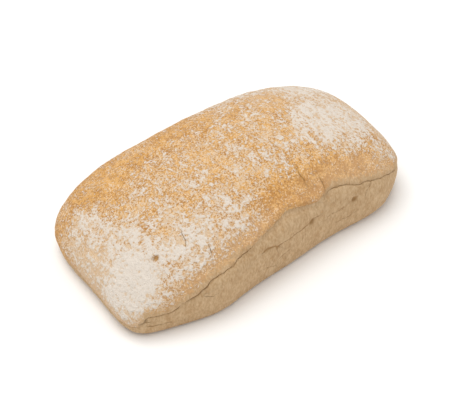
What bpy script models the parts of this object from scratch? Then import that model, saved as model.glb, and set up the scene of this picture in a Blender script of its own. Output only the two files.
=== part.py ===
"""Tin loaf: one rustic white loaf, baked in one piece and resting on its flat base.

The loaf is a single closed solid. A coarse cage, cut from a cube, is bent to the loaf's
form: a flat base, low walls that draw in slightly towards the base, and a broad crown that
rolls down over both ends. Subdivision Surface then rounds the cage off.

Frame: metres, +Z up, origin at the middle of the base. +X runs along the loaf, towards the
end where the wall stands higher, and the loaf rests on z = 0.
"""

import math

import bmesh
import bpy
from mathutils import Vector

# Driving dimensions, in metres.
LENGTH = 0.220
WIDTH = 0.121
HEIGHT = 0.060

# Wall height under the crown, at the two ends and half way along.
WALL_LOW_END = 0.0115
WALL_MIDDLE = 0.0280
WALL_HIGH_END = 0.0150

# Plan: the outline is a superellipse whose corners are tighter at the low end.
CORNER_LOW_END = 4.5
CORNER_HIGH_END = 3.9
PLAN_TAPER = -0.037
WALL_DRAW_IN = 0.030

# Crown: how full its curve is along the loaf and across it, and how much it leans.
CROWN_FULLNESS_ALONG = 2.53
CROWN_FULLNESS_ACROSS = 2.19
CROWN_LEAN = 0.10

# Cage: cuts across each face of the starting cube, how firmly the base edge holds, and how
# far the cube's sides wrap over the crown before its top takes over.
CAGE_CUTS = 5
CAGE_LEVELS = 2
BASE_EDGE_CREASE = 0.7
SHOULDER_WRAP = math.radians(42.0)

CRUST_COLOUR = (0.72, 0.50, 0.28, 1.0)
CRUST_ROUGHNESS = 0.85


def clear_scene():
    """Remove every object that the file starts with."""
    for item in list(bpy.data.objects):
        bpy.data.objects.remove(item, do_unlink=True)


def make_collection(name):
    """Return a new collection linked to the scene."""
    collection = bpy.data.collections.new(name)
    bpy.context.scene.collection.children.link(collection)
    return collection


def crust_material():
    """Return the matte golden-brown finish of a floured crust."""
    material = bpy.data.materials.new("baked_crust")
    material.use_nodes = True
    shader = material.node_tree.nodes["Principled BSDF"]
    shader.inputs["Base Color"].default_value = CRUST_COLOUR
    shader.inputs["Roughness"].default_value = CRUST_ROUGHNESS
    shader.inputs["Metallic"].default_value = 0.0
    material.diffuse_color = CRUST_COLOUR
    return material


def corner_power(along):
    """Return the outline's exponent at a place along the loaf, from -1 to 1."""
    share = 0.5 + 0.5 * along
    return CORNER_LOW_END + (CORNER_HIGH_END - CORNER_LOW_END) * share


def plan_point(u, v):
    """Bend a point of the square from -1 to 1 into the loaf's rounded outline.

    The result is in half-lengths and half-widths, and its edge is the superellipse.
    """
    reach = max(abs(u), abs(v))
    if reach < 1e-9:
        return 0.0, 0.0
    power = corner_power(u)
    norm = (abs(u) ** power + abs(v) ** power) ** (1.0 / power)
    return u * reach / norm, v * reach / norm


def wall_height(along):
    """Return the wall's height in metres at a place along the loaf, from -1 to 1."""
    ends = 0.5 * (WALL_LOW_END + WALL_HIGH_END)
    lean = 0.5 * (WALL_HIGH_END - WALL_LOW_END)
    return WALL_MIDDLE + lean * along + (ends - WALL_MIDDLE) * along * along


def crown_height(along, across):
    """Return how far the crown rises above the wall, in metres."""
    power = corner_power(along)
    edge = max(1.0 - abs(along) ** power, 1e-9) ** (1.0 / power)
    across = min(abs(across) / edge, 1.0)
    lengthwise = max(1.0 - abs(along) ** CROWN_FULLNESS_ALONG, 0.0)
    crosswise = max(1.0 - across ** CROWN_FULLNESS_ACROSS, 0.0)
    rise = (HEIGHT - WALL_MIDDLE) * lengthwise ** (1.0 / CROWN_FULLNESS_ALONG)
    return rise * crosswise ** (1.0 / CROWN_FULLNESS_ACROSS) * (1.0 + CROWN_LEAN * along)


def loaf_point(corner):
    """Move one corner of the cut cube, from -1 to 1 on each axis, to its place.

    The lower half of the cube's sides is the wall and their upper half is the crown's
    shoulder. The cube's top is the rest of the crown, and its bottom is the base.
    """
    u, v, w = corner
    wrap = SHOULDER_WRAP * max(w, 0.0)
    along, across = plan_point(u * math.cos(wrap), v * math.cos(wrap))
    if w > 1e-6:
        up = wall_height(along) + crown_height(along, across)
    else:
        up = wall_height(along) * (w + 1.0)
    depth = min(max(-w, 0.0), 1.0)
    inward = 1.0 - WALL_DRAW_IN * depth * depth
    x = 0.5 * LENGTH * along * inward
    y = 0.5 * WIDTH * across * inward * (1.0 + PLAN_TAPER * along)
    return Vector((x, y, up))


def crease_base(mesh):
    """Hold the edge round the base, so that the loaf keeps a flat foot."""
    layer = mesh.edges.layers.float.new("crease_edge")
    for edge in mesh.edges:
        ring = all(corner.co.z < -1.0 + 1e-6 for corner in edge.verts)
        outer = all(max(abs(c.co.x), abs(c.co.y)) > 1.0 - 1e-6 for c in edge.verts)
        if ring and outer:
            edge[layer] = BASE_EDGE_CREASE


def loaf_cage():
    """Return the loaf's cage: a cube, cut into a grid and bent to the loaf's form."""
    cage = bmesh.new()
    bmesh.ops.create_cube(cage, size=2.0)
    bmesh.ops.subdivide_edges(cage, edges=cage.edges[:], cuts=CAGE_CUTS, use_grid_fill=True)
    crease_base(cage)
    for corner in cage.verts:
        corner.co = loaf_point(corner.co)
    bmesh.ops.recalc_face_normals(cage, faces=cage.faces[:])
    mesh = bpy.data.meshes.new("loaf")
    cage.to_mesh(mesh)
    cage.free()
    return mesh


def fit_to_size(loaf):
    """Stretch the cage until the rounded loaf has its driving dimensions.

    Subdivision draws a cage inwards, so the rounded form is measured and the cage is
    scaled and moved by the difference. The base stays on z = 0.
    """
    depsgraph = bpy.context.evaluated_depsgraph_get()
    rounded = loaf.evaluated_get(depsgraph)
    places = [vertex.co.copy() for vertex in rounded.to_mesh().vertices]
    rounded.to_mesh_clear()
    low = Vector([min(place[axis] for place in places) for axis in range(3)])
    high = Vector([max(place[axis] for place in places) for axis in range(3)])
    target = Vector((LENGTH, WIDTH, HEIGHT))
    middle = 0.5 * (low + high)
    for vertex in loaf.data.vertices:
        place = vertex.co
        place.x = (place.x - middle.x) * target.x / (high.x - low.x)
        place.y = (place.y - middle.y) * target.y / (high.y - low.y)
        place.z = (place.z - low.z) * target.z / (high.z - low.z)
    loaf.data.update()


def build_loaf(collection):
    """Build the loaf as one closed body and return it."""
    mesh = loaf_cage()
    mesh.materials.append(crust_material())
    loaf = bpy.data.objects.new("loaf", mesh)
    collection.objects.link(loaf)
    rounding = loaf.modifiers.new("rounding", "SUBSURF")
    rounding.levels = CAGE_LEVELS
    rounding.render_levels = CAGE_LEVELS
    fit_to_size(loaf)
    mesh.shade_smooth()
    return loaf


def main():
    """Build the tin loaf."""
    clear_scene()
    build_loaf(make_collection("tin_loaf"))


main()
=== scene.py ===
"""Looks of the tin loaf: a rustic white loaf with a floured golden crown and pale soft walls.

The loaf is one piece, rebuilt here as a fine skin over the plain solid of the frame, with
the crease under its crust, the torn lines in its wall, its pit, its dimples and its blisters
in the mesh. Flour lies on the crown as a dusting in the crust's finish and as small clumps.

Frame: metres, +Z up, the origin at the middle of the base. +X runs along the loaf, -Y is the
long side with the open crease, and the loaf rests on z = 0.
"""

import logging
import math
from collections.abc import Callable
from dataclasses import dataclass, field
from enum import Enum
from functools import partial

import bpy
import numpy as np
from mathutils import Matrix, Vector, kdtree, noise


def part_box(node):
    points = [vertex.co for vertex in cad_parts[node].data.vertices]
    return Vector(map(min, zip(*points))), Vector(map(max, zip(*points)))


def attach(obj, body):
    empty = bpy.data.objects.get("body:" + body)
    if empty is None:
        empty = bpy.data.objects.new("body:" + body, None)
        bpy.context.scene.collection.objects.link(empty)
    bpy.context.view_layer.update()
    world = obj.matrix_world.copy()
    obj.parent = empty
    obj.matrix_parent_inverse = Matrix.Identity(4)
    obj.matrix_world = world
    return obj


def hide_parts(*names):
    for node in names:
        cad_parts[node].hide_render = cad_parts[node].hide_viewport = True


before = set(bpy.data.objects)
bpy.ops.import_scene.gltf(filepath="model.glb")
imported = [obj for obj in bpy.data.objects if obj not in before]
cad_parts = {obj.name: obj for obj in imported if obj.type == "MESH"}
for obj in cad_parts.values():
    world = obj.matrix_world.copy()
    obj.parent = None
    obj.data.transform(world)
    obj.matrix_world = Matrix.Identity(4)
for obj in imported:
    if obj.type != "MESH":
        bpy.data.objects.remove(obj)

LOG = logging.getLogger("tin_loaf")
MM = 0.001
BODY = "root"
NODE = "loaf"

# A corner is on the open side's wall beyond the first two, and on the crown above the third.
FISSURE_WALL_Y = -0.04
DENT_WALL_Y = -0.03
CROWN_Z = 0.02

Array = np.ndarray
Socket = bpy.types.NodeSocket
AddNode = Callable[..., Socket]


class Slot(Enum):
    """The record's material slots."""

    CRUST = "crust"
    FLOUR = "flour"


class Field(Enum):
    """The values that the skin carries on its corners for the crust's finish to read."""

    CREASE = "crease_distance"
    FISSURE = "fissure_widths"
    FLOUR = "flour_cover"
    BROWNED = "oven_browned"
    HOLLOW = "hollow_depth"
    RUBBED = "flour_rubbed"


# ---- Small tools ----


def linear_colour(hex_code: str) -> tuple[float, float, float, float]:
    """Turn an sRGB hex colour into linear light.

    Args:
        hex_code: six hex digits with a leading hash, such as "#dfae6e".

    Returns:
        Linear red, green and blue, and an alpha of 1.
    """
    parts = [int(hex_code[i : i + 2], 16) / 255.0 for i in (1, 3, 5)]
    light = [p / 12.92 if p <= 0.04045 else ((p + 0.055) / 1.055) ** 2.4 for p in parts]
    return (light[0], light[1], light[2], 1.0)


def add_node(
    tree: bpy.types.NodeTree,
    kind: str,
    settings: dict[str, object] | None = None,
    inputs: dict[str | int, object] | None = None,
    output: str | int = 0,
) -> Socket | None:
    """Add a node to a tree, with its settings and what feeds its inputs.

    Args:
        tree: the node tree to add to.
        kind: the node's type name in Blender.
        settings: properties of the node itself.
        inputs: for each input, by name or place, a socket to link from or a plain value.
        output: the output to return, by name or place.

    Returns:
        The chosen output, ready to feed another node, or None where the node has none.
    """
    node = tree.nodes.new(kind)
    for name, value in (settings or {}).items():
        setattr(node, name, value)
    for name, value in (inputs or {}).items():
        if isinstance(value, Socket):
            tree.links.new(value, node.inputs[name])
        else:
            node.inputs[name].default_value = value
    return node.outputs[output] if len(node.outputs) else None


def add_object(name: str, data: bpy.types.ID) -> bpy.types.Object:
    """Make an object of its data and put it in the scene."""
    made = bpy.data.objects.new(name, data)
    bpy.context.scene.collection.objects.link(made)
    return made


def add_up(add: AddNode, parts: list[tuple[Socket, float]]) -> Socket:
    """Add the nodes that add up patterns, each times its share.

    Args:
        add: adds a node to the tree.
        parts: each pattern and its share.

    Returns:
        The sum.
    """
    total = 0.0
    for pattern, share in parts:
        total = add("ShaderNodeMath", TIMES_ADD, {0: pattern, 1: share, 2: total})
    return total


def between(value: Socket, ends: tuple[float, float]) -> dict[str, object]:
    """Return a Map Range node's inputs for a rise from 0 to 1 between two values."""
    return {"Value": value, "From Min": ends[0], "From Max": ends[1]}


def ripple(places: Array, grain: float, seed: int, octaves: int = 3) -> Array:
    """Sample smooth fractal noise at each place.

    Args:
        places: one row of x, y, z in metres for each sample.
        grain: the width of the largest swell, in metres.
        seed: which of the many patterns to sample.
        octaves: how many finer swells lie on the largest.

    Returns:
        One value for each place, mostly between -1 and 1.
    """
    shift = np.array((seed * 13.37, seed * 7.71, seed * 3.19))
    samples = places / grain + shift
    return np.array([noise.fractal(Vector(s), 1.0, 2.0, octaves) for s in samples])


def smooth_step(value: Array, low: float, high: float) -> Array:
    """Rise smoothly from 0 at low to 1 at high; high may be the smaller one."""
    share = np.clip((value - low) / (high - low), 0.0, 1.0)
    return share * share * (3.0 - 2.0 * share)


def hump(distance: Array, width: float) -> Array:
    """Return a bell that is 1 at a distance of 0 and has faded by about one width."""
    return np.exp(-((distance / width) ** 2))


# ---- The loaf's form ----


@dataclass(frozen=True)
class Belly:
    """How far a side or an end of the loaf stands out of its plain outline.

    Each pair is a place along the side and how far it stands out there, in millimetres.
    """

    path: tuple[tuple[float, float], ...]

    def stand_out(self, place: Array) -> Array:
        """Return the stand-out in metres at places along the side, in metres.

        Args:
            place: places along the side, in metres.

        Returns:
            How far the side stands out there, eased between the pairs.
        """
        at, out = np.array(self.path, float).T * MM
        fine = np.linspace(at[0], at[-1], 160)
        eased = np.interp(fine, at, out)
        kernel = np.hanning(17)
        eased = np.convolve(np.pad(eased, 8, mode="edge"), kernel / kernel.sum(), mode="valid")
        return np.interp(place, fine, eased)


@dataclass(frozen=True)
class LoafForm:
    """The loaf's smooth outer form, as heights over its rounded plan.

    Places along and across the loaf run from -1 to 1; heights are in metres. The four
    corners are sharper the larger their power is.
    """

    half_length: float
    half_width: float
    height: float
    wall_low_end: float = 11.5 * MM
    wall_middle: float = 28.0 * MM
    wall_high_end: float = 15.0 * MM
    corner_low_open: float = 7.5
    corner_low_closed: float = 4.0
    corner_high_open: float = 4.1
    corner_high_closed: float = 3.6
    plan_taper: float = -0.037
    wall_draw_in: float = 0.030
    foot_radius: float = 2.5 * MM
    fullness_along: float = 2.53
    fullness_across: float = 2.19
    crown_lean: float = 0.10
    open_side: Belly = Belly(
        (
            (-110, -7.8), (-96, -6.8), (-84, -4.6), (-72, -1.8), (-60, 1.1), (-47, 1.6), (-34, -0.6),
            (-20, -1.7), (5, -2.6), (18, -3.8), (32, -4.8), (44, -4.8), (57, -3.8), (72, -2.1),
            (110, -0.8),
        )
    )
    closed_side: Belly = Belly(
        ((-110, 0), (-60, 0), (-30, -3.0), (0, -4.6), (28, -2.8), (50, 1.2), (75, 1.0), (110, 0))
    )
    low_end: Belly = Belly(((-60, -1.2), (-10, -1.0), (20, 0), (45, -0.8), (60, -1.2)))
    high_end: Belly = Belly(((-60, -0.5), (20, -0.5), (60, -0.8)))

    def corner_power(self, along: Array, across: Array) -> Array:
        """Work out the outline's exponent, which is larger towards a sharper corner.

        Args:
            along: places along the loaf, -1 to 1.
            across: places across the loaf, -1 to 1.

        Returns:
            The exponent in the direction of each place.
        """
        high = 0.5 + 0.5 * along
        closed = 0.5 + 0.5 * across
        low_end = self.corner_low_open * (1.0 - closed) + self.corner_low_closed * closed
        high_end = self.corner_high_open * (1.0 - closed) + self.corner_high_closed * closed
        return low_end * (1.0 - high) + high_end * high

    def plan(self, u: Array, v: Array) -> tuple[Array, Array]:
        """Bend points of the square from -1 to 1 into the rounded outline.

        Args:
            u: places along the square.
            v: places across the square.

        Returns:
            Places along and across the loaf.
        """
        reach = np.maximum(np.maximum(np.abs(u), np.abs(v)), 1e-9)
        power = self.corner_power(u / reach, v / reach)
        norm = (np.abs(u) ** power + np.abs(v) ** power) ** (1.0 / power)
        share = reach / np.maximum(norm, 1e-9)
        return u * share, v * share

    def wall(self, along: Array) -> Array:
        """Work out how high the wall stands under the crown.

        Args:
            along: places along the loaf, -1 to 1.

        Returns:
            Heights in metres.
        """
        ends = 0.5 * (self.wall_low_end + self.wall_high_end)
        lean = 0.5 * (self.wall_high_end - self.wall_low_end)
        return self.wall_middle + lean * along + (ends - self.wall_middle) * along * along

    def crown(self, u: Array, v: Array) -> Array:
        """Return how far the crown rises above the wall at points of the square.

        Args:
            u: places along the square.
            v: places across the square.

        Returns:
            Heights in metres.
        """
        along, across = self.plan(u, v)
        reach = np.maximum(np.maximum(np.abs(u), np.abs(v)), 1e-9)
        power = self.corner_power(u / reach, v / reach)
        edge = np.maximum(1.0 - np.abs(along) ** power, 1e-9) ** (1.0 / power)
        across = np.minimum(np.abs(across) / edge, 1.0)
        lengthwise = np.maximum(1.0 - np.abs(along) ** self.fullness_along, 0.0)
        crosswise = np.maximum(1.0 - across**self.fullness_across, 0.0)
        rise = (self.height - self.wall_middle) * lengthwise ** (1.0 / self.fullness_along)
        rise = rise * crosswise ** (1.0 / self.fullness_across)
        return rise * (1.0 + self.crown_lean * along)

    def place(self, along: Array, across: Array, up: Array) -> Array:
        """Turn places on the plan, and a height, into metres.

        Args:
            along: places along the loaf, -1 to 1.
            across: places across the loaf, -1 to 1.
            up: heights in metres, which draw the wall in below the crown.

        Returns:
            One row of x, y, z for each place.
        """
        depth = np.clip(1.0 - up / self.wall(along), 0.0, 1.0)
        inward = 1.0 - self.wall_draw_in * depth * depth
        low = np.clip(self.foot_radius - up, 0.0, self.foot_radius)
        foot = self.foot_radius - np.sqrt(self.foot_radius**2 - low**2)
        x = self.half_length * along * (inward - foot / self.half_length)
        y = self.half_width * across * (inward - foot / self.half_width)
        y = y * (1.0 + self.plan_taper * along)
        side = np.where(across < 0.0, -self.open_side.stand_out(x), self.closed_side.stand_out(x))
        end = np.where(along < 0.0, -self.low_end.stand_out(y), self.high_end.stand_out(y))
        return np.stack([x + end * np.abs(along) ** 3, y + side * np.abs(across) ** 3, up], axis=-1)

    def profile(self, u: Array, v: Array, wrap: float, steps: int) -> Array:
        """Trace the form from its base edge up the wall and over the shoulder.

        Args:
            u: places along the square, on its edge.
            v: places across the square, on its edge.
            wrap: how far the trace goes over the crown, as an angle from the wall.
            steps: points in each half of the trace.

        Returns:
            For each place on the edge, a row of points, each x, y, z.
        """
        along, across = self.plan(u, v)
        wall = self.wall(along)
        rows = [self.place(along, across, wall * k**2) for k in np.linspace(0, 1, steps)]
        for angle in np.linspace(0.0, wrap, steps)[1:]:
            a, b = u * math.cos(angle), v * math.cos(angle)
            along, across = self.plan(a, b)
            rows.append(self.place(along, across, self.wall(along) + self.crown(a, b)))
        return np.stack(rows, axis=1)


# ---- What the oven and the baker's hands left on the loaf ----


@dataclass(frozen=True)
class CreaseLine:
    """The crease where the crown's crust folds over the pale wall, all round the loaf.

    Each path gives heights over places along or across the loaf, both in millimetres.
    """

    open_side: tuple[tuple[float, float], ...] = (
        (-108, 9.5), (-103, 11), (-101.5, 14), (-99, 18), (-92, 17.5), (-85, 17.5),
        (-79, 21), (-72, 24.5), (-65, 28), (-60, 32), (-53, 32.5), (-46, 34), (-40, 36),
        (-31, 37), (-20, 40), (-10, 42), (0, 44.5), (10, 43), (16, 41.5), (24, 39.5),
        (32, 41), (39, 42), (46, 41), (52, 39), (59, 36), (66, 34.5), (79, 30), (88, 26.5),
        (98, 22.5), (108, 21),
    )
    closed_side: tuple[tuple[float, float], ...] = (
        (-108, 13), (-92, 18), (-70, 27), (-45, 33), (-20, 39), (8, 41), (30, 40),
        (55, 35), (80, 29), (108, 24),
    )
    low_end: tuple[tuple[float, float], ...] = (
        (-58, 9.5), (-46, 8.5), (-38, 9), (-28, 10), (-10, 10), (20, 9.5), (58, 12),
    )
    high_end: tuple[tuple[float, float], ...] = ((-58, 21), (-25, 21.5), (10, 20.5), (58, 24))

    def heights(self, edge: Array) -> Array:
        """Return the crease's height above each point of the loaf's outline.

        Args:
            edge: one row of x, y, z in metres for each point of the outline.

        Returns:
            Heights in metres.
        """
        x, y = edge[:, 0] / MM, edge[:, 1] / MM
        long_open = np.interp(x, *np.array(self.open_side, float).T)
        long_closed = np.interp(x, *np.array(self.closed_side, float).T)
        end_low = np.interp(y, *np.array(self.low_end, float).T)
        end_high = np.interp(y, *np.array(self.high_end, float).T)
        side = np.where(y < 0.0, long_open, long_closed)
        end = np.where(x < 0.0, end_low, end_high)
        turn = smooth_step(np.abs(x), 96.0, 107.0)
        return (side * (1.0 - turn) + end * turn) * MM


@dataclass(frozen=True)
class Fissure:
    """A torn line, as places along it in mm: x, z on the open side's wall, or x, y on the crown."""

    path: tuple[tuple[float, float], ...]
    width: float = 0.6
    on_wall: bool = True

    def widths_away(self, skin: Array) -> Array:
        """Work out how many widths each corner is from the line.

        Args:
            skin: the skin's corners.

        Returns:
            Counts of widths, negative on one side of the line.
        """
        points = np.array(self.path, float) * MM
        flat = skin[:, (0, 2)] if self.on_wall else skin[:, :2]
        best = np.full(len(flat), 1.0)
        sign = np.ones(len(flat))
        for start, end in zip(points[:-1], points[1:]):
            run = end - start
            share = np.clip(((flat - start) @ run) / (run @ run), 0.0, 1.0)
            away = flat - (start + share[:, None] * run)
            distance = np.hypot(away[:, 0], away[:, 1])
            nearer = distance < best
            best = np.where(nearer, distance, best)
            left = run[0] * away[:, 1] - run[1] * away[:, 0] >= 0.0
            sign = np.where(nearer, np.where(left, 1.0, -1.0), sign)
        here = skin[:, 1] < FISSURE_WALL_Y if self.on_wall else skin[:, 2] > CROWN_Z
        return np.where(here, best * sign, 1.0) / (self.width * MM)


@dataclass(frozen=True)
class Dent:
    """A pit, dimple or short crack: a hollow of its own length, width and depth, in mm.

    The place is x, y on the crown, or x, z on the open side's wall.
    """

    place: tuple[float, float]
    length: float
    width: float
    depth: float
    turn: float = 0.0
    on_wall: bool = False

    def hollow(self, skin: Array) -> Array:
        """Work out how deep in the hollow each corner lies.

        Args:
            skin: the skin's corners.

        Returns:
            Shares of the hollow's depth, 0 to 1.
        """
        plane = (0, 2) if self.on_wall else (0, 1)
        away = skin[:, plane] / MM - np.array(self.place)
        c, s = math.cos(math.radians(self.turn)), math.sin(math.radians(self.turn))
        lengthwise = (away[:, 0] * c + away[:, 1] * s) / (0.5 * self.length)
        crosswise = (-away[:, 0] * s + away[:, 1] * c) / (0.5 * self.width)
        bell = np.exp(-(np.abs(lengthwise) ** 3) - crosswise**2)
        here = skin[:, 1] < DENT_WALL_Y if self.on_wall else skin[:, 2] > CROWN_Z
        return np.where(here, bell, 0.0)


@dataclass(frozen=True)
class Dusting:
    """Flour settled on or rubbed into a part of the crown: an ellipse in plan, in millimetres."""

    place: tuple[float, float]
    reach: tuple[float, float]
    cover: float

    def share(self, skin: Array) -> Array:
        """Return how much of each corner's surroundings the flour covers, from 0 to 1."""
        away = (skin[:, :2] / MM - np.array(self.place)) / np.array(self.reach)
        return self.cover * np.exp(-(np.hypot(away[:, 0], away[:, 1]) ** 3))


# ---- Finishes ----


# Settings that many nodes share.
NOISE = {"noise_dimensions": "4D"}
COLOURS = {"data_type": "RGBA"}
EASED = {"interpolation_type": "SMOOTHSTEP"}
LARGER = {"operation": "MAXIMUM"}
TIMES = {"operation": "MULTIPLY"}
TIMES_ADD = {"operation": "MULTIPLY_ADD"}


@dataclass(frozen=True)
class Grain:
    """A noise pattern: the width of its swells in mm, its seed, and how finely it breaks up."""

    width: float
    seed: float
    detail: float
    roughness: float = 0.5

    def inputs(self, place: Socket) -> dict[str, object]:
        """Set out a noise node's inputs that draw the pattern.

        Args:
            place: where on the loaf the pattern is read.

        Returns:
            The inputs by name.
        """
        return {
            "Vector": place,
            "W": self.seed,
            "Scale": 1000.0 / self.width,
            "Detail": self.detail,
            "Roughness": self.roughness,
        }


@dataclass(frozen=True)
class FlourPattern:
    """Where flour lies: grit in clots and in streaks across the loaf, thicker where more fell.

    The crust's finish and the clumps read the same pattern, so they agree.
    """

    grit: Grain = Grain(1.9, 7.3, 4.0, 0.66)
    clot: Grain = Grain(6.0, 8.9, 3.0, 0.6)
    streak: Grain = Grain(4.0, 2.9, 4.0, 0.6)
    shares: tuple[float, float, float] = (0.54, 0.22, 0.24)
    draw_out: tuple[float, float, float] = (1.0, 0.3, 1.0)
    reach: float = 0.17

    def amount(self, add: AddNode, place: Socket, cover: Socket) -> Socket:
        """Add the nodes that give how much flour lies at a place; it shows above 0.5.

        Args:
            add: adds a node to the tree.
            place: where on the loaf, in metres.
            cover: how much of the surroundings the flour covers, 0 to 1.

        Returns:
            The amount of flour.
        """
        across = add("ShaderNodeVectorMath", TIMES, {0: place, 1: self.draw_out})
        amount = add("ShaderNodeMath", TIMES_ADD, {0: cover, 1: self.reach, 2: -0.5 * self.reach})
        grains = ((self.grit, place), (self.clot, place), (self.streak, across))
        for (grain, at), share in zip(grains, self.shares):
            drawn = add("ShaderNodeTexNoise", NOISE, grain.inputs(at))
            amount = add("ShaderNodeMath", TIMES_ADD, {0: drawn, 1: share, 2: amount})
        return amount


@dataclass(frozen=True)
class CrustSockets:
    """What the layers of the crust's finish share: how to add a node, and what they read."""

    add: AddNode
    place: Socket
    read: dict[Field, Socket]
    amount: Socket
    mottle: Socket
    pores: Socket
    folds: Socket
    crumb: Socket


@dataclass(frozen=True)
class FlouredCrust:
    """Wheat crust, oven-browned and dusted with flour: matte, mottled gold under white, with
    painted shade between flour clots, above the crease, in cracks and in hollows.

    Each pair is the two values of a pattern between which one colour gives way to the next.
    """

    gold: str = "#daa866"
    # The crust's darker baked colour, also painted as shade between flour clots and above the crease.
    toasted_and_shade: str = "#b88243"
    haze: str = "#e2c9aa"
    wall: str = "#d3b690"
    wall_shade: str = "#b18d63"
    # Moist crumb in torn lines, the crease's gap and hollows, darkened as painted shade in their depths.
    torn: str = "#966f3e"
    thin_flour: str = "#e0cfbc"
    flour: str = "#e5dacd"
    pattern: FlourPattern = FlourPattern()
    patches: Grain = Grain(22, 0.3, 3.0)
    mottle: Grain = Grain(4.5, 1.1, 4.0)
    pores: Grain = Grain(0.9, 2.3, 1.0)
    strokes: Grain = Grain(3.0, 3.7, 3.0)
    folds: Grain = Grain(4.0, 3.1, 4.0, 0.6)
    crumb: Grain = Grain(1.1, 4.7, 2.0, 0.7)
    rubbed: Grain = Grain(1.0, 9.7, 1.0, 0.7)
    wiped: Grain = Grain(8.0, 6.1, 3.0)
    ragged: Grain = Grain(1.8, 5.9, 4.0)
    draw_strokes: tuple[float, float, float] = (1.0, 0.25, 1.0)
    draw_wall: tuple[float, float, float] = (1.0, 1.0, 0.4)
    toast_and_shade_span: tuple[float, float] = (0.47, 0.60)
    # Spans for the painted shade under thick flour, at clot edges, and just above the crease.
    thick_flour_shade_span: tuple[float, float] = (0.4, 0.9)
    clot_rim_shade_span: tuple[float, float] = (0.44, 0.48)
    crease_browning_and_shade_span: tuple[float, float] = (0.026, 0.008)
    wall_tone: tuple[float, float] = (0.32, 0.68)
    thick: tuple[float, float] = (0.487, 0.543)
    thin: tuple[float, float] = (0.53, 0.62)
    settled: tuple[float, float] = (0.50, 0.58)
    above_crease: tuple[float, float] = (1.1, 1.85)
    tear: tuple[float, float] = (1.2, 0.2)
    grit_relief: tuple[float, float] = (0.44, 0.66)

    def browned_and_shaded_crust(self, at: CrustSockets) -> Socket:
        """Add the bare crust: browned patches and pores, with painted shade between flour clots,
        and browned deeper with painted shade just above the crease.

        Args:
            at: what the layers share.

        Returns:
            The crust's colour.
        """
        add = at.add
        patches = add("ShaderNodeTexNoise", NOISE, self.patches.inputs(at.place))
        across = add("ShaderNodeVectorMath", TIMES, {0: at.place, 1: self.draw_strokes})
        strokes = add("ShaderNodeTexNoise", NOISE, self.strokes.inputs(across))
        # Painted shade: the crust is painted darker under thick flour and at the edges of flour clots, as
        # the shade between clots, and just above the crease, as deeper baking colour with painted shade.
        shade_under_thick_flour = add("ShaderNodeMapRange", {}, between(at.read[Field.FLOUR], self.thick_flour_shade_span))
        clot_rim_shade = add("ShaderNodeMapRange", EASED, between(at.amount, self.clot_rim_shade_span))
        low = add("ShaderNodeMapRange", EASED, between(at.read[Field.CREASE], self.crease_browning_and_shade_span))
        parts = [(patches, 0.15), (strokes, 0.2), (at.mottle, 0.2), (at.pores, 0.45)]
        toast_and_shade = add_up(add, parts + [(shade_under_thick_flour, 0.09), (clot_rim_shade, 0.06), (low, 0.05)])
        toast_and_shade = add("ShaderNodeMapRange", EASED, between(toast_and_shade, self.toast_and_shade_span))
        colours = {6: linear_colour(self.gold), 7: linear_colour(self.toasted_and_shade)}
        return add("ShaderNodeMix", COLOURS, {0: toast_and_shade, **colours}, 2)

    def pale_wall(self, at: CrustSockets) -> Socket:
        """Add the wall: crumb pressed against its neighbour, finely grained, with folds.

        Args:
            at: what the layers share.

        Returns:
            The wall's colour.
        """
        tone = add_up(at.add, [(at.crumb, 0.55), (at.folds, 0.3), (at.mottle, 0.15)])
        tone = at.add("ShaderNodeMapRange", EASED, between(tone, self.wall_tone))
        colours = {6: linear_colour(self.wall_shade), 7: linear_colour(self.wall)}
        return at.add("ShaderNodeMix", COLOURS, {0: tone, **colours}, 2)

    def dusted(self, at: CrustSockets, crust: Socket, thick: Socket) -> Socket:
        """Lay flour over the crust: a haze rubbed into it, and grit and clots that stand on it.

        Args:
            at: what the layers share.
            crust: the bare crust's colour.
            thick: how far the grit and clots hide the crust.

        Returns:
            The floured crust's colour.
        """
        add = at.add
        rubbed = add("ShaderNodeTexNoise", NOISE, self.rubbed.inputs(at.place))
        wiped = add("ShaderNodeTexNoise", NOISE, self.wiped.inputs(at.place))
        more = {"Value": at.read[Field.FLOUR], "From Max": 0.9, "To Min": -0.02, "To Max": 0.16}
        fell = add("ShaderNodeMapRange", {}, more)
        haze = add_up(add, [(wiped, 0.3), (rubbed, 0.7), (fell, 1.0)])
        haze = add("ShaderNodeMapRange", EASED, between(haze, self.thin))
        haze = add("ShaderNodeMath", LARGER, {0: haze, 1: at.read[Field.RUBBED]})
        haze = add("ShaderNodeMath", TIMES, {0: haze, 1: 0.85})
        crust = add("ShaderNodeMix", COLOURS, {0: haze, 6: crust, 7: linear_colour(self.haze)}, 2)
        settled = add("ShaderNodeMapRange", EASED, between(at.amount, self.settled))
        colours = {6: linear_colour(self.thin_flour), 7: linear_colour(self.flour)}
        white = add("ShaderNodeMix", COLOURS, {0: settled, **colours}, 2)
        return add("ShaderNodeMix", COLOURS, {0: thick, 6: crust, 7: white}, 2)

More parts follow.
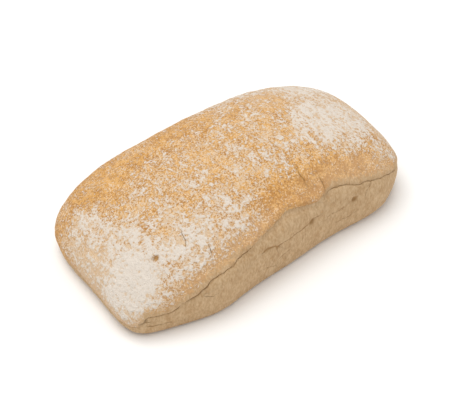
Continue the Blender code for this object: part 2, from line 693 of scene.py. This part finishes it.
    def build(self) -> bpy.types.Material:
        """Build the finish as a Blender material.

        Returns:
            The material.
        """
        material = bpy.data.materials.new("floured_wheat_crust")
        material.use_nodes = True
        tree = material.node_tree
        shader = tree.nodes["Principled BSDF"]
        add = partial(add_node, tree)
        place = add("ShaderNodeTexCoord", output="Object")
        read = {
            one: add("ShaderNodeAttribute", {"attribute_name": one.value}, output="Fac")
            for one in Field
        }
        upright = add("ShaderNodeVectorMath", TIMES, {0: place, 1: self.draw_wall})
        at = CrustSockets(
            add=add,
            place=place,
            read=read,
            amount=self.pattern.amount(add, place, read[Field.FLOUR]),
            mottle=add("ShaderNodeTexNoise", NOISE, self.mottle.inputs(place)),
            pores=add("ShaderNodeTexNoise", NOISE, self.pores.inputs(place)),
            folds=add("ShaderNodeTexNoise", NOISE, self.folds.inputs(upright)),
            crumb=add("ShaderNodeTexNoise", NOISE, self.crumb.inputs(upright)),
        )
        thick = add("ShaderNodeMapRange", EASED, between(at.amount, self.thick))
        thick = add("ShaderNodeMath", TIMES, {0: thick, 1: 0.95})
        crust = self.dusted(at, self.browned_and_shaded_crust(at), thick)

        # Browning fades out raggedly above the crease, where the crust turns to pale wall.
        ragged = add("ShaderNodeTexNoise", NOISE, self.ragged.inputs(place))
        above = add("ShaderNodeMath", TIMES_ADD, {0: ragged, 1: 2.0, 2: read[Field.BROWNED]})
        above = add("ShaderNodeMapRange", EASED, between(above, self.above_crease))
        skin = add("ShaderNodeMix", COLOURS, {0: above, 6: self.pale_wall(at), 7: crust}, 2)

        # Torn lines, the crease's gap and the hollows are painted darker: painted shade in their depths,
        # over the moist crumb they hold.
        tear = add("ShaderNodeMath", {"operation": "ABSOLUTE"}, {0: read[Field.FISSURE]})
        tear = add("ShaderNodeMapRange", EASED, between(tear, self.tear))
        hollow_shade = add("ShaderNodeMapRange", {}, {"Value": read[Field.HOLLOW]})
        torn = add("ShaderNodeMath", LARGER, {0: tear, 1: hollow_shade})
        torn = add("ShaderNodeMath", TIMES, {0: torn, 1: 0.75})
        skin = add("ShaderNodeMix", COLOURS, {0: torn, 6: skin, 7: linear_colour(self.torn)}, 2)

        # Relief too fine for the mesh: grit of flour, pores of crust, fibres of wall.
        grit = add("ShaderNodeMapRange", {}, between(at.amount, self.grit_relief))
        grit = add("ShaderNodeMath", TIMES, {0: grit, 1: above})
        parts = [(grit, 1.0), (at.mottle, 0.5), (at.pores, 0.25), (at.folds, 0.4)]
        relief = add_up(add, parts + [(at.crumb, 0.22), (tear, -0.45)])
        depth = {"Height": relief, "Strength": 0.9, "Distance": 0.75 * MM}
        bumped = add("ShaderNodeBump", {}, depth)

        rough = add("ShaderNodeMapRange", {}, {"Value": thick, "To Min": 0.72, "To Max": 0.92})
        tree.links.new(skin, shader.inputs["Base Color"])
        tree.links.new(rough, shader.inputs["Roughness"])
        tree.links.new(bumped, shader.inputs["Normal"])
        shader.inputs["IOR"].default_value = 1.45
        shader.inputs["Specular IOR Level"].default_value = 0.25
        return material


def plain_finish(name: str, colour: str, roughness: float, gloss: float) -> bpy.types.Material:
    """Make a finish that is the same all over.

    Args:
        name: the material's name.
        colour: its sRGB hex colour.
        roughness: how matte it is, 0 to 1.
        gloss: how strongly it mirrors, 0.5 for a usual surface.

    Returns:
        The material.
    """
    material = bpy.data.materials.new(name)
    material.use_nodes = True
    inputs = material.node_tree.nodes["Principled BSDF"].inputs
    inputs["Base Color"].default_value = linear_colour(colour)
    inputs["Roughness"].default_value = roughness
    inputs["Specular IOR Level"].default_value = gloss
    return material


@dataclass(frozen=True)
class WheatFlour:
    """Milled white flour in small dry clumps: chalky, and slightly warmer than paper."""

    colour: str = "#efe6db"

    def build(self) -> bpy.types.Material:
        """Build the finish as a Blender material."""
        return plain_finish("wheat_flour", self.colour, 0.95, 0.15)


@dataclass(frozen=True)
class PaintedFloor:
    """Matte white paint on the studio floor: bright, even and without gloss."""

    colour: str = "#fbfaf8"

    def build(self) -> bpy.types.Material:
        """Build the finish as a Blender material."""
        return plain_finish("matte_white_paint", self.colour, 0.9, 0.1)


# ---- The skin ----


@dataclass(frozen=True)
class Unevenness:
    """Noise in the skin: its swells' width and its height in mm, its seed and its octaves."""

    width: float
    height: float
    seed: int
    octaves: int

    def over(self, skin: Array) -> Array:
        """Return how far the noise lifts each corner, in metres."""
        return ripple(skin, self.width * MM, self.seed, self.octaves) * self.height * MM


@dataclass
class LoafSkin:
    """The loaf's crust, wall and base as one closed skin, with its creases in the mesh."""

    form: LoafForm
    crease: CreaseLine = field(default_factory=CreaseLine)
    cells_along: int = 256
    cells_across: int = 136
    rows_wall: int = 30
    rows_shoulder: int = 34
    rings_base: int = 9
    shoulder_wrap: float = math.radians(42.0)
    profile_steps: int = 60
    swell: Unevenness = Unevenness(48.0, 1.1, 1, 2)
    blister: Unevenness = Unevenness(10.0, 0.32, 2, 3)
    grit: Unevenness = Unevenness(2.6, 0.10, 3, 2)
    furrow: Unevenness = Unevenness(7.0, 0.40, 4, 4)
    furrow_draw: tuple[float, float, float] = (1.0, 1.0, 0.35)
    fissures: tuple[Fissure, ...] = (
        Fissure(((-21, 29.6), (-17.5, 30.7), (-12, 28.6), (-11, 25.5)), 0.6),
        Fissure(
            ((-11.5, 27.4), (-7, 27.2), (-1, 26.6), (4, 27.4), (10, 27.5), (15, 28.2), (22.5, 29.7)),
            0.45,
        ),
        Fissure(((-7, 14.6), (-4, 16.3), (1, 17), (4, 19)), 0.3),
        Fissure(((-23, 14.6), (-18, 13.6), (-12, 10)), 0.25),
        Fissure(((-64, 22.4), (-60, 19.4), (-56, 21.6)), 0.2),
        Fissure(((-101.4, 13.5), (-97.5, 13.8)), 0.3),
        Fissure(((-97.3, 9.9), (-91.8, 9.3), (-84.7, 7.8)), 0.35),
        Fissure(((40, 14), (47, 13), (53, 15)), 0.2),
        Fissure(((26, 21.5), (33, 24.5), (41, 24), (48, 25.5)), 0.16),
        Fissure(((61.5, 26.5), (63, 29.5), (66.5, 32.5)), 0.2),
        Fissure(((-59.4, -31.5), (-60.7, -34.5), (-61.0, -37), (-62.6, -39.5)), 0.27, False),
        Fissure(((-51.2, -46.8), (-51.8, -48.3), (-52.4, -49.6)), 0.32, False),
        Fissure(((21.6, -37.5), (21.7, -42), (20.2, -46.5)), 0.28, False),
        Fissure(((31.8, -45), (31.9, -48), (31, -50.8)), 0.25, False),
    )
    dents: tuple[Dent, ...] = (
        Dent((-79.4, -33.4), 4.2, 2.4, 1.2, -36.0),
        Dent((21.4, -41), 12.0, 2.2, 0.7, 93.0),
        Dent((31.8, -47.5), 7.0, 2.0, 0.6, 84.0),
        Dent((-79.5, 41.0), 7.0, 1.2, 0.35, 35.0),
        Dent((-64.5, 32.4), 6.0, 1.2, 0.35, 30.0),
        Dent((-52.5, -4.0), 7.0, 1.3, 0.35, 42.0),
        Dent((19.7, -15.3), 6.0, 1.3, 0.35, 100.0),
        Dent((18.4, 28.2), 4.6, 3.6, 1.9, 60.0, True),
        Dent((52.4, 26.3), 4.4, 3.4, 1.9, 80.0, True),
    )
    dustings: tuple[Dusting, ...] = (
        Dusting((-96, -32), (28, 25), 1.05),
        Dusting((-88, -12), (24, 22), 0.68),
        Dusting((-64, -14), (18, 15), 0.56),
        Dusting((-66, -38), (34, 20), 0.70),
        Dusting((-98, 8), (24, 30), 0.62),
        Dusting((-38, -36), (38, 21), 0.58),
        Dusting((-40, 2), (50, 32), 0.42),
        Dusting((10, -4), (56, 42), 0.44),
        Dusting((30, 34), (34, 22), 0.42),
        Dusting((38, 46), (46, 13), 0.62),
        Dusting((70, -8), (42, 32), 0.82),
        Dusting((82, 32), (34, 30), 0.78),
        Dusting((96, -34), (24, 26), 0.5),
    )
    least_cover: float = 0.20
    rubbings: tuple[Dusting, ...] = (
        Dusting((-104, -22), (11, 42), 0.8),
        Dusting((-95, -36), (16, 14), 0.7),
        Dusting((84, 4), (28, 22), 0.5),
        Dusting((103, 0), (12, 45), 0.6),
        Dusting((72, 36), (42, 22), 0.4),
        Dusting((-50, -54), (52, 12), 0.35),
        Dusting((60, -50), (50, 12), 0.3),
    )

    def number_corners(self) -> tuple[Array, Array]:
        """Number the corners on the sides and the top of a block of cells.

        Returns:
            The numbers on a block, -1 inside it, and the block place of each corner.
        """
        rows = self.rows_wall + self.rows_shoulder
        block = np.full((self.cells_along + 1, self.cells_across + 1, rows + 1), -1)
        outside = np.zeros(block.shape, bool)
        outside[0, :, :] = outside[-1, :, :] = True
        outside[:, 0, :] = outside[:, -1, :] = True
        outside[:, :, -1] = True
        block[outside] = np.arange(int(outside.sum()))
        return block, np.argwhere(outside)

    def side_rows(self, u: Array, v: Array) -> Array:
        """Place the rows of corners from the base edge to the shoulder.

        One row of corners runs exactly along the crease, and rows crowd towards it.

        Args:
            u: places along the square, on its edge.
            v: places across the square, on its edge.

        Returns:
            For each place on the edge, the corners of its rows, each x, y, z.
        """
        trace = self.form.profile(u, v, self.shoulder_wrap, self.profile_steps)
        step = np.linalg.norm(np.diff(trace, axis=1), axis=2)
        run = np.concatenate([np.zeros((len(u), 1)), np.cumsum(step, axis=1)], axis=1)
        heights = self.crease.heights(trace[:, self.profile_steps - 1])
        below = np.linspace(0.0, 1.0, self.rows_wall + 1)
        above = np.linspace(0.0, 1.0, self.rows_shoulder + 1)[1:]
        below = below + 0.12 * np.sin(math.pi * below)
        above = above - 0.12 * np.sin(math.pi * above)
        placed = np.empty((len(u), self.rows_wall + self.rows_shoulder + 1, 3))
        for i in range(len(u)):
            crease_run = np.interp(heights[i], trace[i, :, 2], run[i])
            stops = np.concatenate([below * crease_run, crease_run + above * (run[i, -1] - crease_run)])
            for axis in range(3):
                placed[i, :, axis] = np.interp(stops, run[i], trace[i, :, axis])
        return placed

    @staticmethod
    def around(block: Array, row: int) -> Array:
        """Return the corners of one row all round the block, in order."""
        ring = block[:, :, row]
        return np.concatenate([ring[:-1, 0], ring[-1, :-1], ring[:0:-1, -1], ring[0, :0:-1]])

    def on_square(self, places: Array) -> tuple[Array, Array, Array]:
        """Turn block places into places on the square.

        Args:
            places: the block place of each corner.

        Returns:
            Places along and across the square, and which corners stand on the base's edge.
        """
        u = 2.0 * places[:, 0] / self.cells_along - 1.0
        v = 2.0 * places[:, 1] / self.cells_across - 1.0
        side = (np.abs(u) > 1.0 - 1e-9) | (np.abs(v) > 1.0 - 1e-9)
        return u, v, np.flatnonzero(side & (places[:, 2] == 0))

    def lay_out(
        self, block: Array, places: Array
    ) -> tuple[Array, list[Array]]:
        """Lay out the smooth skin, before its creases.

        Args:
            block: the numbers of the corners on the block.
            places: the block place of each corner.

        Returns:
            The corners, and the faces as arrays of corner numbers.
        """
        rows = self.rows_wall + self.rows_shoulder
        u, v, foot = self.on_square(places)
        corners = np.zeros((len(places), 3))
        cos_wrap = math.cos(self.shoulder_wrap)
        along, across = self.form.plan(u * cos_wrap, v * cos_wrap)
        rise = self.form.wall(along) + self.form.crown(u * cos_wrap, v * cos_wrap)
        crown = self.form.place(along, across, rise)
        top = places[:, 2] == rows
        corners[top] = crown[top]
        placed = self.side_rows(u[foot], v[foot])
        for number, column in zip(foot, placed):
            i, j = places[number, :2]
            corners[block[i, j, :]] = column

        faces = [
            self.quads(block[:, :, -1], False),
            self.quads(block[:, 0, :], False),
            self.quads(block[:, -1, :], True),
            self.quads(block[0, :, :], True),
            self.quads(block[-1, :, :], False),
        ]
        return corners, faces

    @staticmethod
    def quads(sheet: Array, flip: bool) -> Array:
        """Make the four-sided faces of a sheet.

        Args:
            sheet: the numbers of its corners, in rows.
            flip: whether the faces turn the other way, so that they point outwards.

        Returns:
            One row of four corner numbers for each face.
        """
        faces = [sheet[:-1, :-1], sheet[1:, :-1], sheet[1:, 1:], sheet[:-1, 1:]]
        stacked = np.stack([one.ravel() for one in faces], axis=1)
        return stacked[:, ::-1] if flip else stacked

    def close_base(
        self, corners: Array, loop: Array
    ) -> tuple[Array, Array, list[int]]:
        """Close the skin with rings of faces across the base.

        Args:
            corners: the skin's corners so far.
            loop: the base edge's corners, in order.

        Returns:
            All the corners, the rings' faces, and the corners of the face in the middle.
        """
        edge = corners[loop]
        centre = edge.mean(axis=0)
        rings = [loop]
        for share in np.linspace(1.0, 0.12, self.rings_base + 1)[1:]:
            rings.append(np.arange(len(loop)) + len(corners))
            ring = centre + (edge - centre) * share
            ring[:, 2] = 0.0
            corners = np.concatenate([corners, ring])
        faces = []
        for outer, inner in zip(rings[:-1], rings[1:]):
            ring = [outer, inner, np.roll(inner, -1), np.roll(outer, -1)]
            faces.append(np.stack(ring, axis=1))
        return corners, np.concatenate(faces), list(rings[-1][::-1])

    def crease_distance(self, skin: Array, columns: Array) -> Array:
        """Return each corner's distance from the crease, negative on the wall's side.

        Args:
            skin: the smooth skin's corners.
            columns: the crease's own corners.

        Returns:
            Signed distances in metres.
        """
        line = np.concatenate([columns, 0.5 * (columns + np.roll(columns, -1, axis=0))])
        tree = kdtree.KDTree(len(line))
        for number, corner in enumerate(line):
            tree.insert(Vector(corner), number)
        tree.balance()
        found = [tree.find(Vector(corner)) for corner in skin]
        away = np.array([hit[2] for hit in found])
        level = np.array([line[hit[1]][2] for hit in found])
        return np.where(skin[:, 2] >= level, away, -away)

    def relief(self, skin: Array, values: dict[Field, Array]) -> Array:
        """Work out how far each corner stands out of the smooth form, in metres.

        Args:
            skin: the smooth skin's corners.
            values: the fields of the skin.

        Returns:
            Heights along the skin's normals.
        """
        x = skin[:, 0] / MM
        crease = values[Field.CREASE]
        crown = smooth_step(crease, -1.0 * MM, 2.0 * MM)
        foot = smooth_step(skin[:, 2], 0.2 * MM, 5.0 * MM)
        open_side = smooth_step(skin[:, 1], -20.0 * MM, -40.0 * MM)
        middle = smooth_step(np.abs(x), 40.0, 24.0) * open_side

        swell = self.swell.over(skin)
        blister = self.blister.over(skin) * crown
        grit = self.grit.over(skin)
        furrow = self.furrow.over(skin * np.array(self.furrow_draw)) * (1.0 - crown)

        wander = 0.75 + 0.35 * ripple(skin, 12.0 * MM, 5, 2)
        crack = hump(crease, 0.75 * MM) * 0.65 * MM * (0.5 + 0.5 * open_side) * (1.0 - 0.85 * middle)
        lip = hump(crease - 3.2 * MM, 3.0 * MM) * (0.25 + 1.3 * middle) * MM
        tuck = hump(crease + 1.6 * MM, 2.2 * MM) * (0.4 + 0.9 * middle) * MM
        folds = hump(crease + 4.5 * MM, 1.0 * MM) * smooth_step(x, -62.0, -84.0) * 0.35 * MM
        tear = hump(values[Field.FISSURE], 1.3) * 0.4 * MM
        hollow = values[Field.HOLLOW] * 1.2 * MM

        height = swell + blister + grit + furrow + lip
        height = height - (crack + tuck + folds) * np.clip(wander, 0.2, 1.3) - tear - hollow
        return height * foot

    def flour_cover(self, skin: Array, crease: Array, hollow: Array) -> Array:
        """Work out how much of each corner's surroundings flour covers.

        Args:
            skin: the smooth skin's corners.
            crease: each corner's distance from the crease.
            hollow: how deep each corner lies in a dent.

        Returns:
            Shares from 0 to 1, and slightly more where flour lies thickest.
        """
        x, y = skin[:, 0] / MM, skin[:, 1] / MM
        cover = np.full(len(skin), self.least_cover)
        for dusting in self.dustings:
            cover = np.maximum(cover, dusting.share(skin))
        # Flour was brushed off the part of the crown that rolls down to the open side.
        brushed = smooth_step(crease, 24.0 * MM, 11.0 * MM) * smooth_step(x, -26.0, -4.0)
        brushed = brushed * smooth_step(y, -10.0, -30.0)
        cover = cover * (1.0 - 0.8 * brushed * smooth_step(x, 90.0, 45.0))
        cover = cover * (1.0 - 0.7 * smooth_step(crease, 7.0 * MM, 2.0 * MM))
        return cover * (1.0 - np.clip(1.8 * hollow, 0.0, 1.0))

    def torn_widths(self, skin: Array, crease: Array, lobe: Array) -> Array:
        """Work out how many widths each corner is from the nearest torn line or crease.

        Args:
            skin: the smooth skin's corners.
            crease: each corner's distance from the crease.
            lobe: where the crust overlaps the crease, 0 to 1.

        Returns:
            Signed counts of widths.
        """
        torn = np.full(len(skin), 99.0)
        # Noise shakes each line and pinches it, so that it looks torn and not drawn.
        jolt = [ripple(skin, 4.5 * MM, seed, 3) for seed in (8, 9)]
        shaken = skin + np.stack([jolt[0], jolt[1], jolt[1]], axis=1) * 0.8 * MM
        pinch = np.clip(0.9 + 1.3 * ripple(skin, 6.0 * MM, 10, 2), 0.3, 1.5)
        for fissure in self.fissures:
            widths = fissure.widths_away(shaken) / pinch
            torn = np.where(np.abs(widths) < np.abs(torn), widths, torn)
        side = smooth_step(np.abs(skin[:, 1] / MM), 30.0, 48.0)
        gap = (0.12 + 0.16 * side) * (1.0 - 0.85 * lobe) * MM
        gap = gap * np.clip(0.8 + 1.0 * ripple(skin, 9.0 * MM, 7, 2), 0.3, 1.4)
        wander = ripple(skin, 6.0 * MM, 6, 4) * 1.1 * MM
        crack = (crease + wander) / gap
        return np.where(np.abs(crack) < np.abs(torn), crack, torn)

    def fields(self, skin: Array, columns: Array) -> dict[Field, Array]:
        """Work out the values that the finish reads, one for each corner.

        Args:
            skin: the smooth skin's corners.
            columns: the crease's own corners.

        Returns:
            The fields by name.
        """
        rubbed = np.zeros(len(skin))
        for rubbing in self.rubbings:
            rubbed = np.maximum(rubbed, rubbing.share(skin))
        hollow = np.zeros(len(skin))
        for dent in self.dents:
            hollow = np.maximum(hollow, dent.hollow(skin) * dent.depth / 1.3)
        crease = self.crease_distance(skin, columns)
        x, y = skin[:, 0] / MM, skin[:, 1] / MM
        lobe = smooth_step(np.abs(x - 1.0), 38.0, 26.0) * smooth_step(y, -20.0, -40.0)
        pale = 9.0 - 7.0 * np.maximum(lobe, smooth_step(x, -98.0, -106.0))
        return {
            Field.CREASE: crease,
            Field.FISSURE: self.torn_widths(skin, crease, lobe),
            Field.FLOUR: self.flour_cover(skin, crease, hollow),
            Field.BROWNED: smooth_step(crease / MM, -0.5, pale),
            Field.HOLLOW: hollow,
            Field.RUBBED: rubbed,
        }

    def unroll(self, mesh: bpy.types.Mesh, flat: Array, first_base: int) -> None:
        """Give the skin a map with the crown and walls unrolled in one piece.

        Args:
            mesh: the skin.
            flat: the unrolled place of each corner, in metres.
            first_base: the first face of the base, which lies beside the rest.
        """
        loops = np.empty(len(mesh.loops), int)
        mesh.loops.foreach_get("vertex_index", loops)
        start = np.empty(len(mesh.polygons), int)
        mesh.polygons.foreach_get("loop_start", start)
        on_base = np.arange(len(loops)) >= start[first_base]
        skin = np.empty(len(mesh.vertices) * 3)
        mesh.vertices.foreach_get("co", skin)
        skin = skin.reshape(-1, 3)
        gap = 3.0 * MM
        drop = flat[:, 1].min() - gap - skin[:, 1].max()
        beside = skin[:, :2] + np.array((0.0, drop))
        places = np.where(on_base[:, None], beside[loops], flat[loops])
        low, high = places.min(axis=0), places.max(axis=0)
        places = (places - low + gap) / ((high - low).max() + 2.0 * gap)
        layer = mesh.uv_layers.new(name="OFBake")
        layer.data.foreach_set("uv", places.ravel())

    def build(self) -> bpy.types.Object:
        """Build the skin and dress it.

        Returns:
            The loaf.
        """
        block, places = self.number_corners()
        corners, faces = self.lay_out(block, places)
        corners, rings, middle = self.close_base(corners, self.around(block, 0))
        first_base = sum(len(one) for one in faces)
        crease_corners = corners[self.around(block, self.rows_wall)]
        flat = self.flat_places(corners, places, block)

        mesh = bpy.data.meshes.new("loaf_skin")
        polygons = np.concatenate(faces + [rings]).tolist() + [[int(n) for n in middle]]
        mesh.from_pydata(corners.tolist(), [], polygons)
        mesh.update()
        normals = np.empty(len(corners) * 3)
        mesh.vertex_normals.foreach_get("vector", normals)
        normals = normals.reshape(-1, 3)

        values = self.fields(corners, crease_corners)
        skin = corners + normals * self.relief(corners, values)[:, None]
        skin[:, 2] = np.maximum(skin[:, 2], 0.0)
        mesh.vertices.foreach_set("co", skin.ravel())
        for one, value in values.items():
            layer = mesh.attributes.new(one.value, "FLOAT", "POINT")
            layer.data.foreach_set("value", value.astype(np.float32))
        self.unroll(mesh, flat, first_base)
        mesh.shade_smooth()
        mesh.update()
        mesh.materials.append(FlouredCrust().build())
        return add_object("loaf_skin", mesh)

    def flat_places(
        self, corners: Array, places: Array, block: Array
    ) -> Array:
        """Unroll the walls outwards from the crown, keeping lengths.

        Args:
            corners: the skin's corners.
            places: the block place of each corner of the crown and walls.
            block: the numbers of the corners on the block.

        Returns:
            A flat x, y for each corner, in metres.
        """
        flat = corners[:, :2].copy()
        u, v, foot = self.on_square(places)
        along, across = self.form.plan(u[foot], v[foot])
        power = self.form.corner_power(u[foot], v[foot])
        out_x = np.sign(along) * np.abs(along) ** (power - 1.0) / self.form.half_length
        out_y = np.sign(across) * np.abs(across) ** (power - 1.0) / self.form.half_width
        out = np.stack([out_x, out_y], axis=1)
        out /= np.linalg.norm(out, axis=1)[:, None]
        for number, away in zip(foot, out):
            i, j = places[number, :2]
            column = block[i, j, ::-1]
            step = np.linalg.norm(np.diff(corners[column], axis=0), axis=1)
            run = np.concatenate([[0.0], np.cumsum(step)])
            flat[column] = corners[column[0], :2] + run[:, None] * away
        return flat


# ---- Flour clumps ----


@dataclass
class FlourClumps:
    """Small dry clumps of flour that stand on the crown where the dusting is thick."""

    loaf: bpy.types.Object
    clump: float = 0.36 * MM
    crowding: float = 0.20
    seed: int = 11

    def tree(self, finish: bpy.types.Material) -> bpy.types.GeometryNodeTree:
        """Build the node tree that scatters the clumps.

        Args:
            finish: the clumps' finish.

        Returns:
            The tree, with inputs named for the clumps' size, crowding and seed.
        """
        tree = bpy.data.node_groups.new("scatter_flour_clumps", "GeometryNodeTree")
        socket = tree.interface.new_socket
        socket("Geometry", in_out="INPUT", socket_type="NodeSocketGeometry")
        socket("Clump Size", in_out="INPUT", socket_type="NodeSocketFloat")
        socket("Clumps per Square Millimetre", in_out="INPUT", socket_type="NodeSocketFloat")
        socket("Seed", in_out="INPUT", socket_type="NodeSocketInt")
        socket("Geometry", in_out="OUTPUT", socket_type="NodeSocketGeometry")
        add = partial(add_node, tree)
        given = add("NodeGroupInput").node.outputs

        # Clumps stand where the flour is thickest, and never on the crease or the wall.
        place = add("GeometryNodeInputPosition")
        number = {"data_type": "FLOAT"}
        cover = add("GeometryNodeInputNamedAttribute", number, {"Name": Field.FLOUR.value})
        crease = add("GeometryNodeInputNamedAttribute", number, {"Name": Field.CREASE.value})
        amount = FlourPattern().amount(add, place, cover)
        dusted = add("ShaderNodeMapRange", {}, {"Value": amount, "From Min": 0.51, "From Max": 0.60})
        on_crown = add("ShaderNodeMath", {"operation": "GREATER_THAN"}, {0: crease, 1: 2.0 * MM})
        share = add("ShaderNodeMath", TIMES, {0: dusted, 1: on_crown})
        per_metre = add("ShaderNodeMath", TIMES, {0: given["Clumps per Square Millimetre"], 1: 1.0e6})
        density = add("ShaderNodeMath", TIMES, {0: share, 1: per_metre})
        points = add(
            "GeometryNodeDistributePointsOnFaces",
            {"distribute_method": "RANDOM"},
            {"Mesh": given["Geometry"], "Density": density, "Seed": given["Seed"]},
        ).node.outputs

        grain = add("GeometryNodeMeshIcoSphere", {}, {"Radius": given["Clump Size"], "Subdivisions": 1})
        scale = add(
            "FunctionNodeRandomValue",
            {"data_type": "FLOAT_VECTOR"},
            {0: (0.5, 0.5, 0.3), 1: (1.5, 1.2, 0.8), "Seed": given["Seed"]},
        )
        scattered = add(
            "GeometryNodeInstanceOnPoints",
            {},
            {
                "Points": points["Points"],
                "Instance": grain,
                "Rotation": points["Rotation"],
                "Scale": scale,
            },
        )
        real = add("GeometryNodeRealizeInstances", {}, {"Geometry": scattered})
        dressed = add("GeometryNodeSetMaterial", {}, {"Geometry": real, "Material": finish})
        add("NodeGroupOutput", {}, {"Geometry": dressed})
        return tree

    def build(self) -> bpy.types.Object:
        """Scatter the clumps and make them a plain mesh.

        Returns:
            The clumps as one object.
        """
        finish = WheatFlour().build()
        host = add_object("flour_host", self.loaf.data)
        scatter = host.modifiers.new("scatter", "NODES")
        scatter.node_group = self.tree(finish)
        sockets = {
            item.name: item.identifier
            for item in scatter.node_group.interface.items_tree
            if item.in_out == "INPUT"
        }
        scatter[sockets["Clump Size"]] = self.clump
        scatter[sockets["Clumps per Square Millimetre"]] = self.crowding
        scatter[sockets["Seed"]] = self.seed
        depsgraph = bpy.context.evaluated_depsgraph_get()
        mesh = bpy.data.meshes.new_from_object(host.evaluated_get(depsgraph))
        mesh.name = "flour_clumps"
        bpy.data.objects.remove(host, do_unlink=True)
        mesh.shade_smooth()
        return add_object("flour_clumps", mesh)


# ---- Studio ----


@dataclass
class Studio:
    """The plain studio: a white floor, soft light from above, and the camera."""

    azimuth: float = -35.9993
    elevation: float = 45.5
    distance: float = 0.660
    lens: float = 84.40
    aim: Vector = field(default_factory=lambda: Vector((0.0, 0.0, 0.0275)))
    aim_right: float = -4.82 * MM
    aim_up: float = -15.64 * MM
    floor_reach: float = 6.0
    floor_level: float = -0.4 * MM
    room_light: float = 0.57

    def build_camera(self) -> None:
        """Set up the camera, from the low end and the open side."""
        a, e = math.radians(self.azimuth), math.radians(self.elevation)
        back = Vector((math.sin(a) * math.cos(e), -math.cos(a) * math.cos(e), math.sin(e)))
        right = Vector((math.cos(a), math.sin(a), 0.0))
        up = back.cross(right)
        data = bpy.data.cameras.new("camera")
        data.sensor_width = 36.0
        data.lens = self.lens
        data.clip_start = 0.01
        camera = add_object("camera", data)
        camera.location = self.aim + right * self.aim_right + up * self.aim_up
        camera.location += back * self.distance
        camera.rotation_euler = back.to_track_quat("Z", "Y").to_euler()
        bpy.context.scene.camera = camera

    def build_floor(self) -> None:
        """Lay the floor that the loaf rests on."""
        mesh = bpy.data.meshes.new("studio_floor")
        reach, low = self.floor_reach, self.floor_level
        corners = [(-reach, -reach, low), (reach, -reach, low), (reach, reach, low), (-reach, reach, low)]
        mesh.from_pydata(corners, [], [(0, 1, 2, 3)])
        mesh.materials.append(PaintedFloor().build())
        add_object("studio_floor", mesh)

    @staticmethod
    def add_area(name: str, towards: Vector, reach: float, size: float, power: float) -> None:
        """Hang one soft area light that shines on the loaf.

        Args:
            name: the light's name.
            towards: the direction from the loaf to the light.
            reach: how far away it hangs, in metres.
            size: the side of its square, in metres.
            power: its power in watts.
        """
        data = bpy.data.lights.new(name, "AREA")
        data.shape = "SQUARE"
        data.size = size
        data.energy = power
        lamp = add_object(name, data)
        lamp.location = towards.normalized() * reach
        lamp.rotation_euler = towards.to_track_quat("Z", "Y").to_euler()

    def build_light(self) -> None:
        """Light the loaf softly from above, with a weak card at one end and a white room."""
        scene = bpy.context.scene
        world = bpy.data.worlds.new("studio_room")
        world.use_nodes = True
        room = world.node_tree.nodes["Background"]
        room.inputs["Color"].default_value = (1.0, 1.0, 1.0, 1.0)
        room.inputs["Strength"].default_value = self.room_light
        scene.world = world
        scene.view_settings.view_transform = "Standard"
        self.add_area("key_softbox", Vector((-0.15, 0.16, 1.0)), 2.4, 1.8, 40.5)
        self.add_area("fill_card", Vector((0.9, -0.75, 0.4)), 2.0, 1.5, 4.5)

    def build(self) -> None:
        """Build the whole studio."""
        self.build_camera()
        self.build_floor()
        self.build_light()


# ---- Building it all ----


def main() -> None:
    """Build the loaf, its flour and the studio."""
    logging.basicConfig(level=logging.INFO, format="%(name)s: %(message)s")
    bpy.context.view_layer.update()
    low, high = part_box(NODE)
    size = high - low
    form = LoafForm(half_length=size.x / 2, half_width=size.y / 2, height=size.z)

    loaf = LoafSkin(form).build()
    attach(loaf, BODY)
    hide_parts(NODE)
    LOG.info("%s: %d faces", loaf.name, len(loaf.data.polygons))

    clumps = FlourClumps(loaf).build()
    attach(clumps, BODY)
    LOG.info("%s: %d faces", clumps.name, len(clumps.data.polygons))

    Studio().build()


if __name__ == "__main__":
    main()
